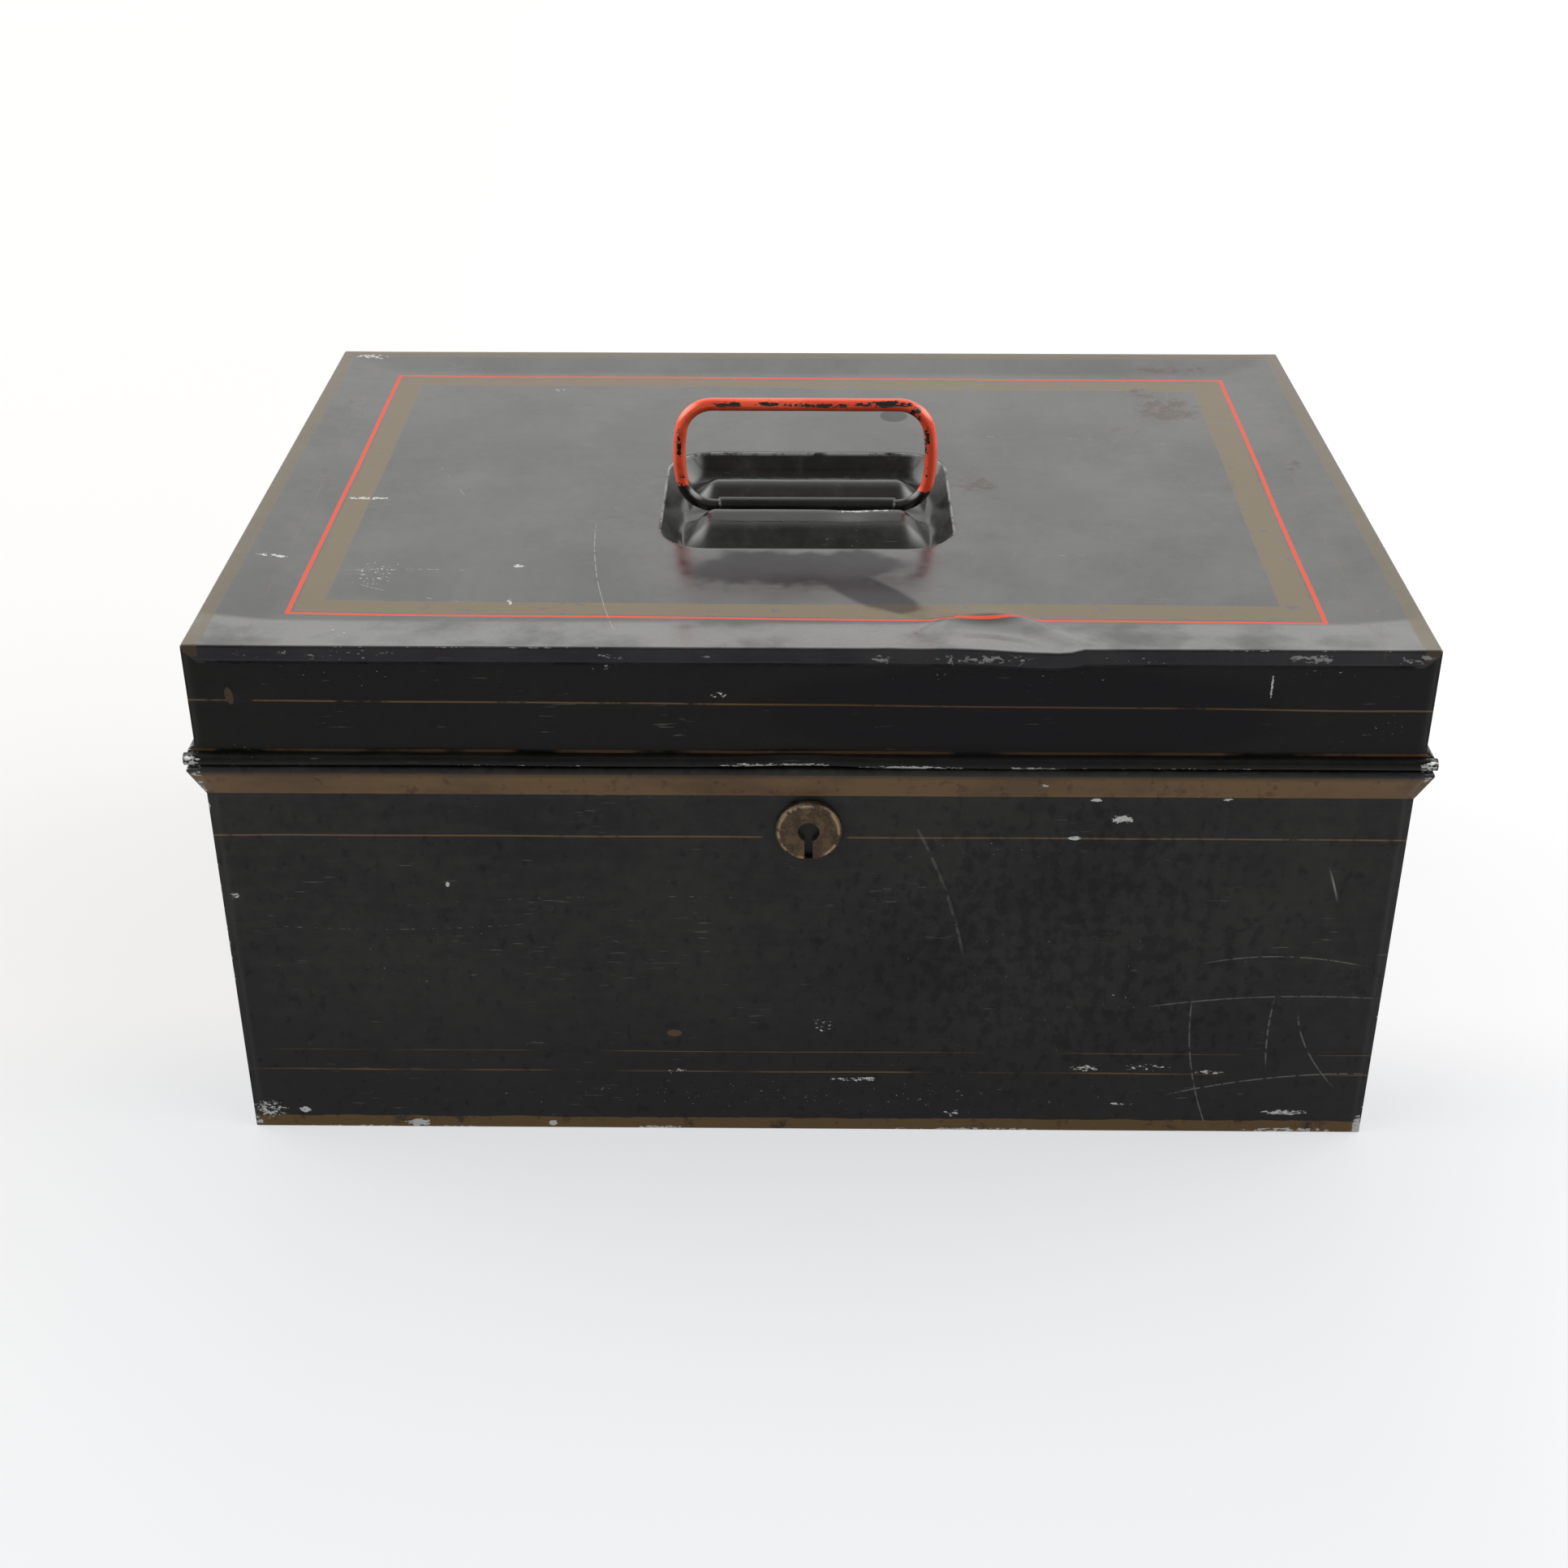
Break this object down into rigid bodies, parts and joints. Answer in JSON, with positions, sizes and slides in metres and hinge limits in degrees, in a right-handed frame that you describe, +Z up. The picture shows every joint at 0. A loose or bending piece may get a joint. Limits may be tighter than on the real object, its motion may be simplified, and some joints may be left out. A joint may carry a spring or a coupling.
{
  "type": "deed box",
  "caption": "Japanned sheet-metal deed box with a hinged lid, a folding wire carrying handle in a pressed recess and a round-keyhole lock.",
  "frame": {"origin": "centre of the foot on the surface it stands on", "axes": "+X to the right along the width, +Y to the back (the keyhole faces -Y), +Z up"},
  "size_m": [0.4142, 0.2978, 0.2335],
  "materials": {
    "japan_black": "worn gloss black japan lacquer with gilt and red lining",
    "handle_red": "worn dull red enamel over black",
    "old_brass": "brown patina with verdigris",
    "lock_brass": "dull",
    "lock_steel": "dull",
    "tinned_wire": "tinned, bright cut ends"
  },
  "bodies": {
    "box": {"body_front": "japan_black", "body_back": "japan_black", "body_left_end": "japan_black", "body_right_end": "japan_black", "bottom_plate": "japan_black", "hinge_strap_left": "japan_black", "hinge_strap_right": "japan_black", "hinge_rivets": "japan_black", "escutcheon": "old_brass", "lock_plate": "lock_steel", "lock_case": "lock_steel", "lever_stud": "lock_steel"},
    "lid": {"lid_top": "japan_black", "handle_dish": "japan_black", "lid_front_rim": "japan_black", "lid_back_rim": "japan_black", "lid_left_rim": "japan_black", "lid_right_rim": "japan_black", "lid_wire_front": "tinned_wire", "lid_wire_left": "tinned_wire", "lid_wire_right": "tinned_wire", "hinge_wire": "tinned_wire", "handle_keeper": "japan_black", "lock_staple": "lock_steel"},
    "handle": {"bail_handle": "handle_red"},
    "barrel": {"lock_barrel": "lock_brass"},
    "bolt": {"lock_bolt": "lock_brass"},
    "levers": {"lever_front": "lock_brass", "lever_rear": "lock_brass", "lever_springs": "lock_steel"}
  },
  "joints": [
    {"name": "lid_hinge", "type": "hinge", "parent": "box", "child": "lid", "pos_m": [0, 0.1468, 0.1563], "axis": [-1, 0, 0], "range_deg": [0, 105]},
    {"name": "handle_fold", "type": "hinge", "parent": "lid", "child": "handle", "pos_m": [0, -0.0125, 0.1915], "axis": [1, 0, 0], "range_deg": [-90, 90]},
    {"name": "barrel_turn", "type": "hinge", "parent": "box", "child": "barrel", "pos_m": [0, -0.14, 0.1285], "axis": [0, 1, 0], "range_deg": [0, 104]},
    {"name": "bolt_slide", "type": "slide", "parent": "box", "child": "bolt", "axis": [1, 0, 0], "range_m": [0, 0.006]},
    {"name": "lever_lift", "type": "hinge", "parent": "box", "child": "levers", "pos_m": [-0.013, -0.137, 0.134], "axis": [0, -1, 0], "range_deg": [0, 4]}
  ],
  "couplings": [
    {"joint": "bolt_slide", "follows": "barrel_turn", "m_per_rad": 0.0032994}
  ]
}
